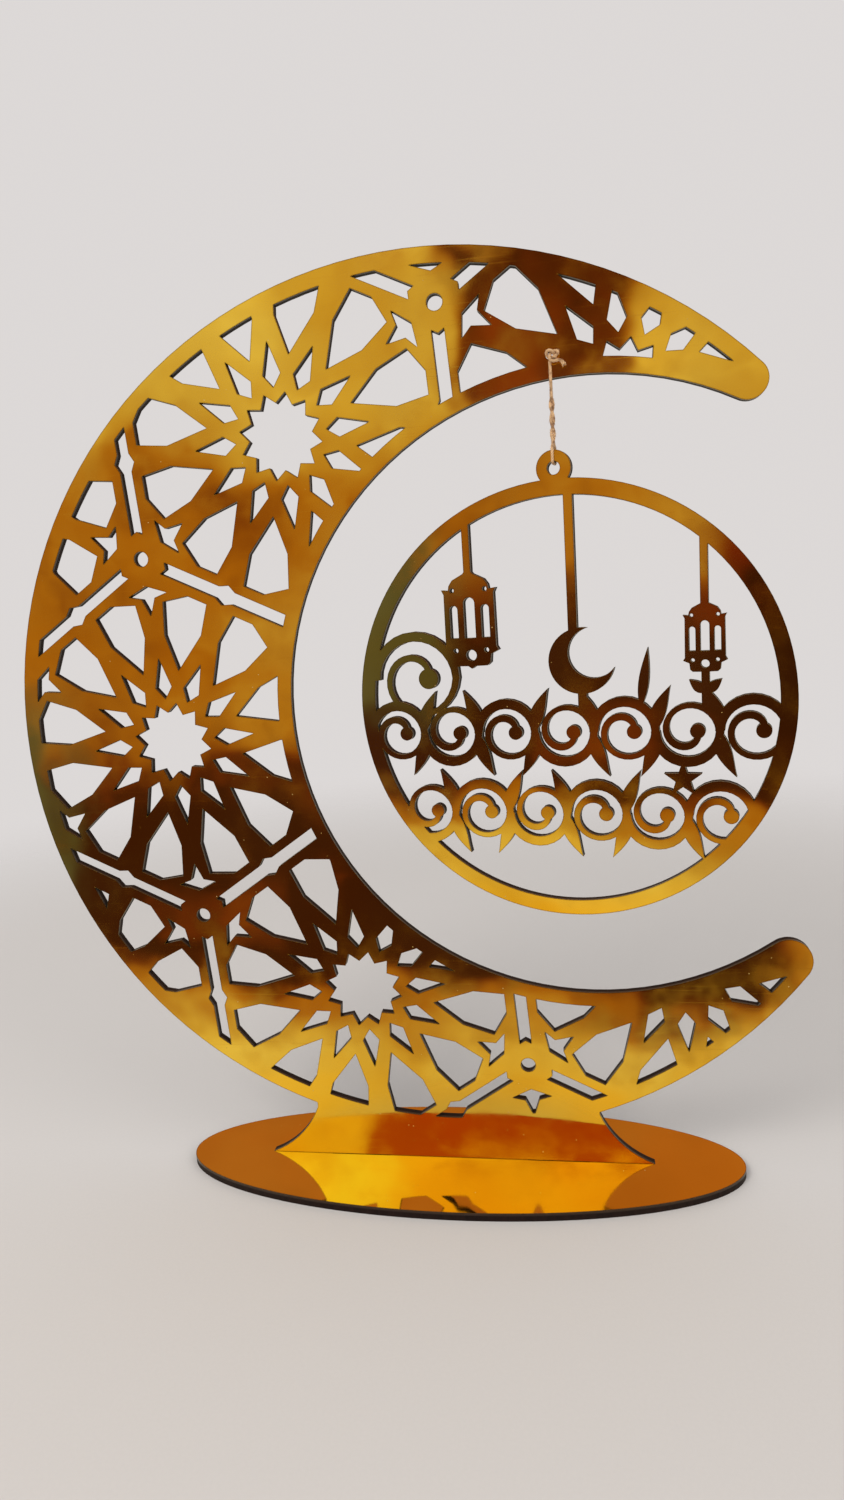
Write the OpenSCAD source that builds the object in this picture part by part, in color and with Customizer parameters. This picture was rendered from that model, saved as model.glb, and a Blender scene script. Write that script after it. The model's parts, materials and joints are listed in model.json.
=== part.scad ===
// Crescent table ornament: a gold mirror crescent with a pierced star pattern,
// standing on an oval base, with a round medallion hanging on a thread loop in its bay.
// X runs along the crescent, Y towards its back and Z up. The origin is the centre of
// the base's underside. Flat outlines are drawn in X and Z and extruded along Y.

/* [Sheets] */
// Thickness of the dark backing board
board_t = 2; // [1.5:0.5:4]
// Thickness of the gold mirror layer glued on the board
mirror_t = 1; // [0.5:0.25:2]

/* [Base] */
// Length of the oval base
base_len = 206; // [190:1:240]
// Depth of the oval base
base_depth = 66; // [55:1:90]

/* [Crescent] */
// Radius of the crescent's outer circle
outer_r = 152.5; // [148:0.5:158]
// How much smaller the inner circle's radius is than the outer one's
inner_less = 48.9; // [46.5:0.1:54.5]
// How far the inner circle's centre lies to the right of the outer one's
inner_dx = 53.2; // [50:0.2:58]
// How far the inner circle's centre lies above the outer one's
inner_dz = 5.5; // [0:0.5:12]
// How far the outer circle's centre lies to the right of the base's centre
crescent_dx = 1.5; // [-6:0.5:6]
// Height of the outer circle's lowest point above the base
crescent_lift = 10.9; // [8:0.1:20]
// Radius of the upper horn's round end
horn_top_r = 6.2; // [4:0.1:8]
// Radius of the lower horn's round end
horn_low_r = 7.8; // [5:0.1:10]

/* [Foot] */
// Width of the foot's neck
neck_w = 105; // [90:1:115]
// How far the flare spreads on each side of the neck
flare_w = 19; // [12:0.5:24]
// Height of the flare
flare_h = 19; // [12:0.5:24]
// Radius of the flare's hollow edge
flare_r = 34; // [28:1:80]
// Width of each tab under the foot
tab_w = 22; // [15:1:30]
// Distance between the centres of the two tabs
tab_pitch = 74; // [60:1:90]
// Gap between a tab and its slot in the base
tab_gap = 0.15; // [0.1:0.05:0.3]

/* [Pierced pattern] */
// Distance between neighbouring rosettes
rosette_pitch = 113.4; // [108:0.1:118]
// Direction from one rosette to the next, from upright
rosette_turn = -26.1; // [-40:0.1:-15]
// Place of the first rosette from the outer circle's centre, to the right
first_dx = -46; // [-55:0.1:-35]
// Place of the first rosette from the outer circle's centre, upwards
first_dz = 98.9; // [90:0.1:110]
// Plain rim along the outer edge
rim_outer = 5.2; // [4:0.1:9]
// Plain rim along the inner edge
rim_inner = 5; // [4:0.1:9]
// Width of the long slots
slot_w = 4.2; // [3:0.1:5.5]
// Radius of the round hole where three slots meet
hub_hole_r = 2.6; // [1.5:0.1:4]

/* [Medallion] */
// Outer radius of the medallion's ring
ring_r = 73.5; // [70:0.5:78]
// Width of the ring's band
ring_band = 5.2; // [4:0.1:8]
// Outer radius of the hanging eyelet
eyelet_r = 5.7; // [5:0.1:7]
// Radius of the eyelet's hole
eyelet_hole_r = 2.1; // [1.8:0.1:2.8]
// How far the medallion is turned about its thread as it hangs
rest_turn = -11.3; // [-30:0.1:30]
// Height of the larger lantern
lantern_h = 32.8; // [30:0.1:36]
// Height of the smaller lantern
small_lantern_h = 22.6; // [18:0.1:26]
// Width of the stems that hold the lanterns
lantern_stem_w = 2.5; // [1.5:0.1:4]
// Width of the stem that holds the small crescent
moon_stem_w = 3; // [2:0.1:5]
// Radius of the small crescent
moon_r = 11; // [9:0.1:12]
// Radius of the five-pointed star, centre to tip
star_r = 6.3; // [5:0.1:8]
// Number of scrolls in the upper row
upper_scrolls = 7; // [5:1:9]
// Number of scrolls in the lower row
lower_scrolls = 6; // [4:1:8]
// Width of the scrolls where they start
scroll_w = 3; // [2:0.1:3.4]

/* [Thread] */
// Diameter of the thread
thread_d = 1; // [0.8:0.1:1.4]
// Gap between the thread and the sheets
thread_gap = 0.15; // [0.1:0.05:0.3]
// Gap between the two strands where they are wound together
strand_gap = 0.2; // [0.1:0.05:0.3]
// Radius of the thread's hole in the crescent
thread_hole_r = 1.3; // [1.1:0.1:2]
// Place of the thread's hole from the outer circle's centre, to the right
hang_dx = 44; // [38:0.5:52]
// Distance of the thread's hole from the crescent's inner edge
hang_edge = 7; // [5:0.5:9]
// Length from the thread's hole to the eyelet's centre
hang_drop = 34.4; // [30:0.1:45]
// Length below the crescent's edge in which the strands draw together
merge_len = 4.7; // [3:0.1:8]
// Length above the eyelet in which the strands spread again
spread_len = 3; // [2:0.1:5]

/* [Hidden] */

board_colour = [0.13, 0.08, 0.06];
mirror_colour = [0.80, 0.58, 0.20];
thread_colour = [0.78, 0.62, 0.45];

arc_fn = 180;
hole_fn = 48;
oval_points = 160;
overrun = 0.5;
sheet_t = board_t + mirror_t;
crescent_z = sheet_t + crescent_lift + outer_r;
inner_r = outer_r - inner_less;
inner_c = [inner_dx, inner_dz];
inner_gap = norm(inner_c);
inner_aim = atan2(inner_dz, inner_dx);
horn_reach_share = 1.3;

// Where a horn's round end has its centre: inside the outer circle and outside the inner one
function horn_along(r) =
    ((outer_r - r) ^ 2 - (inner_r + r) ^ 2 + inner_gap ^ 2) / (2 * inner_gap);
function horn_across(r) = sqrt((outer_r - r) ^ 2 - horn_along(r) ^ 2);
function turned(p, a) = [p[0] * cos(a) - p[1] * sin(a), p[0] * sin(a) + p[1] * cos(a)];
function horn_centre(r, side) = turned([horn_along(r), side * horn_across(r)], inner_aim);

// Pattern shapes, as shares of the distance between rosettes
star_tip_share = 0.127;
star_notch_share = 0.096;
kite_shares = [[0.140, 0], [0.177, 0.027], [0.270, 0], [0.177, -0.027]];
petal_shares = [[0.223, 0.060], [0.309, 0.140], [0.404, 0.180],
                [0.451, 0.112], [0.451, 0.046], [0.355, 0.030]];
dart_shares = [[0.084, 0], [0.110, 0.063], [0.121, 0.022],
               [0.176, 0], [0.121, -0.022], [0.110, -0.063]];
slot_tip_share = 0.216;
slot_notch_share = 0.205;
knob_len_share = 0.027;
knob_reach_share = 0.032;
star_points = 12;
rosette_rows = [-3:3];

// A hole near a rim is cut only where a place in it lies this deep in the pierced zone,
// from the outer rim and from the inner one
star_keep_share = [-0.085, -0.085];
kite_at_share = [0.2, 0];
kite_keep_share = [0, 0];
petal_tip_share = [0.223, 0.060];
petal_tip_keep_share = [0.015, 0.028];
petal_at_share = [0.36, 0.1];
petal_keep_share = [0.005, 0.005];
dart_at_share = [0.12, 0];
dart_keep_share = [0.01, 0.01];
hub_keep_share = [-0.01, -0.01];
hub_dart_keep_share = [-0.025, -0.025];
slot_keep_share = [-0.15, -0.15];
hole_clear_share = 0.06;
// The rosette in the upper horn sits a little lower than the rule gives
horn_rosette = [1, 0];
horn_shift_share = [-0.006, -0.018];
// Holes at the outer rim that the rule doesn't give, at the upper horn's tip and at the
// lower left, as shares of the outer circle's radius from its centre
rim_hole_shares = [[[0.588, 0.735], [0.614, 0.760], [0.665, 0.706]],
                   [[-0.876, -0.372], [-0.840, -0.391], [-0.850, -0.429]]];

hang_z = inner_dz + sqrt(inner_r ^ 2 - (hang_dx - inner_dx) ^ 2) + hang_edge;
hang_x = crescent_dx + hang_dx;
hang_top = crescent_z + hang_z;

// Places in the medallion, as shares of its ring's radius, from the ring's centre
eyelet_out_share = 0.58;
lantern_at_share = [-0.423, 0.178];
small_lantern_at_share = [0.626, 0.122];
moon_stem_at_share = 0.057;
moon_at_share = [0.091, 0.196];
star_at_share = [0.524, -0.345];
upper_row_share = -0.129;
lower_row_share = -0.510;
corner_at_share = [-0.71, 0.136];
corner_r_share = 0.204;
moon_link_share = [0.091, -0.030];
small_link_share = [0.626, -0.042];
tall_leaf_share = [0.347, -0.022];
tall_leaf_len_share = 0.27;
tall_leaf_w_share = 0.045;

// The small crescent's hollow, as shares of its radius
moon_hollow_share = [0.364, 0.236];
moon_hollow_r_share = 0.764;
moon_stem_in_share = 0.88;
star_inner_share = 0.4;

// Half of a lantern's outline, from its foot to its top, as shares of its height
lantern_shares = [[0, 0], [0.04, 0.027], [0.17, 0.03], [0.205, 0.06], [0.215, 0.15],
                  [0.30, 0.19], [0.275, 0.23], [0.27, 0.78], [0.295, 0.83], [0.22, 0.82],
                  [0.21, 0.87], [0.17, 0.925], [0.05, 0.985], [0.04, 1]];
// Windows: middle, foot, width and height to the spring of the arch
window_shares = [[0, 0.320, 0.122, 0.360], [0.171, 0.323, 0.088, 0.295]];
// Round holes: place and radius
lantern_hole_shares = [[0, 0.140, 0.058], [0.168, 0.192, 0.027], [0.178, 0.820, 0.024]];

// Scrolls and leaves
scroll_turns = 1.5;
scroll_steps = 42;
scroll_shrink_share = 0.68;
scroll_taper_share = 0.4;
swell_share = 0.22;
bud_share = 0.24;
leaf_steps = 12;
leaf_len_share = 1.5;
leaf_w_share = 0.5;
leaf_bend_share = 0.5;
leaf_aim = 90;
leaf_lean = 0.8;
link_leaf_share = 0.6;
link_leaf_aim = 40;
tall_leaf_aim = 82;

eyelet_z = hang_top - hang_drop;
eyelet_rise = ring_r + eyelet_out_share * eyelet_r;
ring_z = eyelet_z - eyelet_rise;

// Thread places, from the middle of the thread's hole
strand_steps = 5;
bend_steps = 3;
pair_turns = 1.5;
pair_steps = 13;
tube_sides = 8;
swing_gap = 0.7;
end_gap = 0.25;
thread_r = thread_d / 2;
face_y = sheet_t / 2 + thread_r + thread_gap;
pair_r = (thread_d + strand_gap) / 2;
bend_hollow = 0.25;
bend_r = thread_r + bend_hollow;
through_z = -(thread_hole_r - thread_r - thread_gap);
merge_z = -hang_edge - merge_len;
spread_z = -hang_drop + eyelet_r + spread_len;
bight_z = -hang_drop + eyelet_hole_r - thread_r - thread_gap / 2;

// The knot, an open overhand knot, and its tail
knot_s = 0.85;
knot_h = 0.95;
knot_from = 212;
knot_to = 520;
knot_steps = 28;
knot_tail = [[-0.1, -3.5, -2.8], [1, -3.3, -3.6], [2.2, -3, -4.3], [3.5, -2.5, -5]];
front_start = 2;

module base_board() {
    color(board_colour)
        linear_extrude(board_t)
            base_outline();
}

module base_mirror() {
    color(mirror_colour)
        translate([0, 0, board_t])
            linear_extrude(mirror_t)
                base_outline();
}

module crescent_board() {
    color(board_colour)
        upright(mirror_t - sheet_t / 2, board_t)
            crescent_outline();
}

module crescent_mirror() {
    color(mirror_colour)
        upright(-sheet_t / 2, mirror_t)
            crescent_outline();
}

// A flat outline stood up in the X-Z plane, from y to y + t
module upright(y, t) {
    translate([0, y + t, 0])
        rotate([90, 0, 0])
            linear_extrude(t)
                children();
}

module base_outline() {
    difference() {
        polygon([for (i = [0:oval_points - 1])
            [base_len / 2 * cos(360 * i / oval_points),
             base_depth / 2 * sin(360 * i / oval_points)]]);
        for (side = [-1, 1])
            translate([side * tab_pitch / 2, 0])
                square([tab_w + 2 * tab_gap, sheet_t + 2 * tab_gap], center = true);
    }
}

module crescent_outline() {
    difference() {
        union() {
            translate([crescent_dx, crescent_z])
                crescent_shape();
            foot_shape();
        }
        translate([crescent_dx, crescent_z]) {
            intersection() {
                pierced_zone();
                pattern();
            }
            translate([hang_dx, hang_z])
                circle(thread_hole_r, $fn = hole_fn);
        }
    }
}

// The full crescent with round horn ends, about the outer circle's centre
module crescent_shape() {
    top = horn_centre(horn_top_r, 1);
    low = horn_centre(horn_low_r, -1);
    difference() {
        circle(outer_r, $fn = arc_fn);
        translate(inner_c)
            circle(inner_r, $fn = arc_fn);
        polygon([inner_c, top, top * horn_reach_share, [outer_r * horn_reach_share, 0],
                 low * horn_reach_share, low]);
    }
    translate(top)
        circle(horn_top_r, $fn = hole_fn);
    translate(low)
        circle(horn_low_r, $fn = hole_fn);
}

module foot_shape() {
    top = crescent_z - sqrt(outer_r ^ 2 - (neck_w / 2 + abs(crescent_dx)) ^ 2);
    translate([-neck_w / 2, sheet_t])
        square([neck_w, top - sheet_t]);
    for (side = [-1, 1])
        mirror([side - 1, 0])
            translate([neck_w / 2, sheet_t])
                flare();
    for (side = [-1, 1])
        translate([side * tab_pitch / 2, sheet_t / 2 + tab_gap])
            square([tab_w, sheet_t - 2 * tab_gap + overrun], center = true);
}

// The hollow flare at the right of the foot, from the neck's lower corner
module flare() {
    chord = norm([flare_w, flare_h]);
    away = sqrt(flare_r ^ 2 - chord ^ 2 / 4);
    difference() {
        polygon([[-overrun, 0], [flare_w, 0], [0, flare_h], [-overrun, flare_h]]);
        translate([flare_w, flare_h] / 2 + [flare_h, flare_w] / chord * away)
            circle(flare_r, $fn = arc_fn);
    }
}

// Inside this zone the pattern is cut, and the rims round it stay plain
module pierced_zone() {
    difference() {
        circle(outer_r - rim_outer, $fn = arc_fn);
        translate(inner_c)
            circle(inner_r + rim_inner, $fn = arc_fn);
    }
}

// A place in the pattern: i and j count rosettes along its two directions
function spot(i, j) = [first_dx, first_dz]
    + turned([i * sqrt(3) / 2, j + i / 2] * rosette_pitch, rosette_turn);
// Whether a place lies deep enough inside the pierced zone
function kept(p, shares) = outer_r - rim_outer - norm(p) > shares[0] * rosette_pitch
    && norm(p - inner_c) - inner_r - rim_inner > shares[1] * rosette_pitch;
function clear_of_hole(p) = norm(p - [hang_dx, hang_z]) > hole_clear_share * rosette_pitch;
function placed(c, at_share, turn, side) =
    c + turned([at_share[0], side * at_share[1]] * rosette_pitch, turn);

module pattern() {
    for (i = rosette_rows, j = rosette_rows) {
        rosette(spot(i, j) + ([i, j] == horn_rosette ? horn_shift_share * rosette_pitch : [0, 0]));
        hub(spot(i + 1 / 3, j + 1 / 3), rosette_turn);
        hub(spot(i + 2 / 3, j - 1 / 3), rosette_turn + 180);
        long_slot(spot(i, j + 1 / 2), rosette_turn);
        long_slot(spot(i + 1 / 2, j), rosette_turn - 60);
        long_slot(spot(i + 1 / 2, j - 1 / 2), rosette_turn - 120);
    }
    for (hole = rim_hole_shares)
        polygon(hole * outer_r);
}

// Holes of one rosette: a star, a ring of kites and a ring of petals
module rosette(c) {
    if (kept(c, star_keep_share))
        translate(c)
            rotate(rosette_turn + 90)
                polygon([for (k = [0:star_points - 1]) each [
                    turned([star_notch_share, 0], 360 * k / star_points) * rosette_pitch,
                    turned([star_tip_share, 0], 360 * (k + 0.5) / star_points) * rosette_pitch]]);
    for (k = [0:star_points - 1]) {
        turn = rosette_turn + 90 + 360 * k / star_points;
        middle = placed(c, kite_at_share, turn, 1);
        if (kept(middle, kite_keep_share) && clear_of_hole(middle))
            translate(c)
                rotate(turn)
                    polygon(kite_shares * rosette_pitch);
    }
    for (k = [0:star_points / 2 - 1], side = [-1, 1]) {
        turn = rosette_turn + 90 + 60 * k;
        if (kept(placed(c, petal_at_share, turn, side), petal_keep_share)
            || kept(placed(c, petal_tip_share, turn, side), petal_tip_keep_share))
            translate(c)
                rotate(turn)
                    mirror([0, side - 1])
                        polygon(petal_shares * rosette_pitch);
    }
}

// A round hole with three darts round it
module hub(c, turn) {
    whole = kept(c, hub_keep_share);
    if (whole)
        translate(c)
            circle(hub_hole_r, $fn = hole_fn);
    for (k = [0:2])
        if (kept(placed(c, dart_at_share, turn + 120 * k, 1),
                 whole ? hub_dart_keep_share : dart_keep_share))
            translate(c)
                rotate(turn + 120 * k)
                    polygon(dart_shares * rosette_pitch);
}

// A slot between two hubs, with forked ends and a pointed knob at the middle
module long_slot(c, turn) {
    tip = slot_tip_share * rosette_pitch;
    notch = slot_notch_share * rosette_pitch;
    knob_len = knob_len_share * rosette_pitch;
    knob_reach = knob_reach_share * rosette_pitch;
    half = [[tip, slot_w / 2], [knob_len, slot_w / 2], [0, knob_reach], [-knob_len, slot_w / 2],
            [-tip, slot_w / 2], [-notch, 0]];
    if (kept(c, slot_keep_share))
        translate(c)
            rotate(turn)
                polygon(concat(half, -half));
}

module medallion_board() {
    color(board_colour)
        hung()
            upright(mirror_t - sheet_t / 2, board_t)
                medallion_outline();
}

module medallion_mirror() {
    color(mirror_colour)
        hung()
            upright(-sheet_t / 2, mirror_t)
                medallion_outline();
}

// The medallion's own frame: the ring's centre, turned about the thread
module hung() {
    translate([hang_x, 0, ring_z])
        rotate([0, 0, rest_turn])
            children();
}

module medallion_outline() {
    difference() {
        union() {
            difference() {
                circle(ring_r, $fn = arc_fn);
                circle(ring_r - ring_band, $fn = arc_fn);
            }
            translate([0, eyelet_rise])
                circle(eyelet_r, $fn = hole_fn);
            intersection() {
                circle(ring_r - ring_band / 2, $fn = arc_fn);
                filling();
            }
        }
        translate([0, eyelet_rise])
            circle(eyelet_hole_r, $fn = hole_fn);
    }
}

// Everything inside the ring
module filling() {
    lantern(lantern_at_share * ring_r, lantern_h);
    lantern(small_lantern_at_share * ring_r, small_lantern_h);
    small_moon();
    translate(star_at_share * ring_r)
        five_star();
    scroll_row(upper_row_share * ring_r, upper_scrolls, 0, ring_r);
    scroll_row(lower_row_share * ring_r, lower_scrolls, 1, star_at_share[0] * ring_r);
    cresting();
}

// A bar of width w that stands on a place and reaches up to a height
module bar(at, w, top) {
    translate([at[0] - w / 2, at[1]])
        square([w, top - at[1]]);
}

module lantern(at, h) {
    half = lantern_shares * h;
    last = len(half) - 1;
    bar(at + [0, h - lantern_stem_w], lantern_stem_w, ring_r);
    translate(at)
        difference() {
            polygon(concat(half, [for (k = [last:-1:1]) [-half[k][0], half[k][1]]]));
            for (side = [-1, 1]) {
                for (s = window_shares * h)
                    translate([side * s[0], s[1]])
                        window(s[2], s[3]);
                for (s = lantern_hole_shares * h)
                    translate([side * s[0], s[1]])
                        circle(s[2], $fn = hole_fn);
            }
        }
}

module window(w, spring) {
    translate([-w / 2, 0])
        square([w, spring]);
    translate([0, spring])
        circle(w / 2, $fn = hole_fn);
}

module small_moon() {
    at = moon_at_share * ring_r;
    bar([moon_stem_at_share * ring_r, at[1] + moon_stem_in_share * moon_r], moon_stem_w, ring_r);
    translate(at)
        difference() {
            circle(moon_r, $fn = hole_fn);
            translate(moon_hollow_share * moon_r)
                circle(moon_hollow_r_share * moon_r, $fn = hole_fn);
        }
}

module five_star() {
    polygon([for (k = [0:4]) each [
        turned([0, star_r], 72 * k),
        turned([0, star_r * star_inner_share], 72 * k + 36)]]);
}

// A running scroll from one side of the ring to the other at height w. Each joint between
// two scrolls has a leaf above and one below, but none above at the joint nearest to bare_x.
module scroll_row(w, count, flip, bare_x) {
    r = sqrt((ring_r - ring_band / 2) ^ 2 - w ^ 2) / count;
    bare = round((bare_x / r + count) / 2);
    for (k = [0:count - 1])
        translate([(2 * k + 1 - count) * r, w])
            mirror([0, (k + flip) % 2])
                scroll(r);
    for (k = [1:count - 1]) {
        upside = (k + flip + 1) % 2;
        translate([(2 * k - count) * r, w])
            mirror([0, upside])
                for (half = k == bare ? [180 - 180 * upside] : [0, 180])
                    rotate(half + leaf_aim)
                        leaf(leaf_len_share * r, leaf_w_share * r, -leaf_bend_share * r);
    }
}

// A tapering scroll that starts at the left, runs over the top and curls in to a bud
module scroll(r) {
    function way(t) = r * (1 - scroll_shrink_share * max(0, t - 0.5));
    function half_w(t) = scroll_w / 2 * (1 - scroll_taper_share * t / scroll_turns)
        * (1 + swell_share * sin(360 * t));
    function at(t, side) = turned([-way(t) - side * half_w(t), 0], -360 * t);
    polygon(concat(
        [for (k = [0:scroll_steps]) at(scroll_turns * k / scroll_steps, 1)],
        [for (k = [scroll_steps:-1:0]) at(scroll_turns * k / scroll_steps, -1)]));
    translate(at(scroll_turns, 0))
        circle(bud_share * r, $fn = hole_fn);
}

// A leaf that grows from the origin along +X and bends to one side
module leaf(len, wide, bend) {
    function edge(t, side) = [len * t, bend * t ^ 2 + side * wide / 2 * sin(180 * t ^ leaf_lean)];
    polygon(concat(
        [for (k = [0:leaf_steps]) edge(k / leaf_steps, 1)],
        [for (k = [leaf_steps - 1:-1:1]) edge(k / leaf_steps, -1)]));
}

// What joins the upper row to the moon and lanterns above it
module cresting() {
    small_at = small_link_share * ring_r;
    small_foot = small_lantern_at_share[1] * ring_r;
    translate(corner_at_share * ring_r)
        scroll(corner_r_share * ring_r);
    bar(moon_link_share * ring_r, moon_stem_w,
        moon_at_share[1] * ring_r - moon_hollow_r_share * moon_r);
    bar(small_at, lantern_stem_w, small_foot + lantern_stem_w / 4);
    for (side = [-1, 1])
        translate([small_at[0], (small_at[1] + small_foot) / 2])
            mirror([side - 1, 0])
                rotate(link_leaf_aim)
                    leaf(link_leaf_share * moon_r, leaf_w_share * link_leaf_share * moon_r, 0);
    translate(tall_leaf_share * ring_r)
        rotate(tall_leaf_aim)
            leaf(tall_leaf_len_share * ring_r, tall_leaf_w_share * ring_r, 0);
}

module thread_knot() {
    knot_y = -face_y - knot_h;
    step = (knot_to - knot_from) / knot_steps;
    threaded()
        tube(concat(
            [for (t = [knot_from:step:knot_to])
                [knot_s * (sin(t) + 2 * sin(2 * t)),
                 knot_y - knot_h * sin(3 * t),
                 knot_s * (cos(t) - 2 * cos(2 * t))]],
            knot_tail), [0, 1, 0]);
}

module thread_front() {
    threaded()
        tube(concat(
            [[0, -face_y, -front_start], [0, -face_y, -hang_edge / 2]],
            drawn(-face_y, -hang_edge, -pair_r, merge_z)), [1, 0, 0]);
}

module thread_back() {
    threaded()
        tube(concat(
            [[0, -sheet_t / 2, through_z], [0, 0, through_z]],
            [for (k = [0:bend_steps]) let (a = 90 * k / bend_steps)
                [0, face_y - bend_r + bend_r * sin(a), through_z - bend_r + bend_r * cos(a)]],
            [[0, face_y, -hang_edge / 2]],
            drawn(face_y, -hang_edge, pair_r, merge_z)), [1, 0, 0]);
}

module thread_pair() {
    top = merge_z - swing_gap;
    threaded()
        for (start = [-90, 90])
            tube([for (k = [0:pair_steps]) let (
                    t = k / pair_steps,
                    a = start + t * (360 * pair_turns + rest_turn))
                [pair_r * cos(a), pair_r * sin(a), top + t * (spread_z - top)]], [1, 0, 0]);
}

// The loop's lower end, through the eyelet
module thread_bight() {
    half = concat(
        [for (k = [0:bend_steps]) let (a = 90 * k / bend_steps)
            [0, face_y - bend_r + bend_r * sin(a), bight_z + bend_r - bend_r * cos(a)]],
        drawn(face_y, -hang_drop + eyelet_r, pair_r, spread_z - end_gap));
    last = len(half) - 1;
    threaded()
        rotate([0, 0, rest_turn])
            tube(concat(
                [for (k = [last:-1:0]) [half[k][0], -half[k][1], half[k][2]]],
                half), [1, 0, 0]);
}

// Thread colour and place: the middle of the thread's hole
module threaded() {
    color(thread_colour)
        translate([hang_x, 0, hang_top])
            children();
}

// A smooth run in the Y-Z plane from one height and depth to another
function drawn(y1, z1, y2, z2) = [for (k = [0:strand_steps]) let (t = k / strand_steps)
    [0, y1 + (y2 - y1) * (1 - cos(180 * t)) / 2, z1 + (z2 - z1) * t]];

function unit(v) = v / norm(v);
function heading(p, k) =
    unit(p[min(k + 1, len(p) - 1)] - p[max(k - 1, 0)]);

// A closed round tube of the thread's diameter along the points p, with ref never along it
module tube(p, ref) {
    n = tube_sides;
    last = len(p) - 1;
    points = [for (k = [0:last]) let (
                  t = heading(p, k),
                  u = unit(cross(ref, t)),
                  v = cross(t, u))
              for (s = [0:n - 1])
                  p[k] + thread_r * (u * cos(360 * s / n) + v * sin(360 * s / n))];
    sides = [for (k = [0:last - 1], s = [0:n - 1]) let (
                 a = k * n + s,
                 b = k * n + (s + 1) % n)
             each [[a, a + n, b], [b, a + n, b + n]]];
    polyhedron(points, concat(
        sides,
        [[for (s = [0:n - 1]) s]],
        [[for (s = [n - 1:-1:0]) last * n + s]]));
}

base_board();
base_mirror();
crescent_board();
crescent_mirror();
medallion_board();
medallion_mirror();
thread_knot();
thread_front();
thread_back();
thread_pair();
thread_bight();
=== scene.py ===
"""Looks of a gold mirror crescent ornament: sheet finishes, a plied thread and a plain studio.

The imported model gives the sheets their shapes. The operators here finish them, build the
thread as twisted yarn along its real route, and set up the camera, the floor and the light.
Lengths are in metres, apart from the thread's route and the lens, in millimetres.
"""

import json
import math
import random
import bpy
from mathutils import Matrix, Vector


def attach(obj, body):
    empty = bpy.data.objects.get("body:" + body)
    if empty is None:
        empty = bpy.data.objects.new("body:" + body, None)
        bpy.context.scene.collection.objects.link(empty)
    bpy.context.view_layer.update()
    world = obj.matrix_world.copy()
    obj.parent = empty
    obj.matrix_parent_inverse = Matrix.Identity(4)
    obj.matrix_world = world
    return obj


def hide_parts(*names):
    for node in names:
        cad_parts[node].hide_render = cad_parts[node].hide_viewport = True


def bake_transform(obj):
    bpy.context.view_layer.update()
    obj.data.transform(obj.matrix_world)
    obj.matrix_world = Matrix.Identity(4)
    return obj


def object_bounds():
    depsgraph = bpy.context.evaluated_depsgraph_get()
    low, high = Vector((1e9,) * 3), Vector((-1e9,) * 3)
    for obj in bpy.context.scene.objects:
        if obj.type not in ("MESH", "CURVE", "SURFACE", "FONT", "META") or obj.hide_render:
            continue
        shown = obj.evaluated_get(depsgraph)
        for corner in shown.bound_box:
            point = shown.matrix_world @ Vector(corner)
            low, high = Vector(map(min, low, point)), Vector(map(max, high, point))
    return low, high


bl_info = {
    "name": "Crescent ornament looks",
    "version": (1, 0, 0),
    "blender": (4, 5, 0),
    "location": "View3D > Sidebar > Ornament",
    "description": "Finishes for a gold mirror crescent, its medallion and its thread",
    "category": "Object",
}

import bpy
from bpy.props import (
    FloatProperty,
    FloatVectorProperty,
    IntProperty,
    PointerProperty,
)
from bpy.types import Operator, Panel, PropertyGroup
from mathutils import Matrix, Vector

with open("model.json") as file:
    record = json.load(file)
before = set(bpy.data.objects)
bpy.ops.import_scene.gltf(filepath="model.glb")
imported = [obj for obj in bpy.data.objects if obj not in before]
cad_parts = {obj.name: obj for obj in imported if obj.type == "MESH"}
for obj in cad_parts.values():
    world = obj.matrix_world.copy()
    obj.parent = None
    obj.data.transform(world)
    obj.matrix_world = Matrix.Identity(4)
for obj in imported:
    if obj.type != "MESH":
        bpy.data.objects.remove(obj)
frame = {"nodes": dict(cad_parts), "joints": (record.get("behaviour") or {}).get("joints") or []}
CAD_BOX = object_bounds()

MM = 0.001
CM_PER_M = 100

# Where the thread's hole is, and how far the medallion is turned about its thread
JOINTS = {joint["name"]: joint for joint in frame["joints"]}
HANG = Vector(JOINTS["side_swing"]["pos_m"])
TILT_AXIS = Vector(JOINTS["tilt"]["axis"])
REST_TURN = -math.atan2(TILT_AXIS.x, TILT_AXIS.y)


class CameraSettings(PropertyGroup):
    """The photograph's viewpoint."""

    place: FloatVectorProperty(
        name="Place",
        description="Where the camera stands",
        subtype="TRANSLATION",
        unit="LENGTH",
        default=(0.0505, -0.3187, 0.2109),
    )
    heading: FloatProperty(
        name="Heading",
        description="Turn from looking straight at the front, clockwise from above",
        subtype="ANGLE",
        default=math.radians(-9.68),
    )
    tilt: FloatProperty(
        name="Tilt",
        description="How far the camera looks down",
        subtype="ANGLE",
        default=math.radians(9.46),
    )
    roll: FloatProperty(
        name="Roll",
        description="Turn of the camera about its own line of sight",
        subtype="ANGLE",
        default=math.radians(-3.77),
    )
    lens: FloatProperty(
        name="Lens",
        description="Focal length in millimetres on a sensor 36 mm long",
        unit="CAMERA",
        default=22.615,
    )


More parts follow.
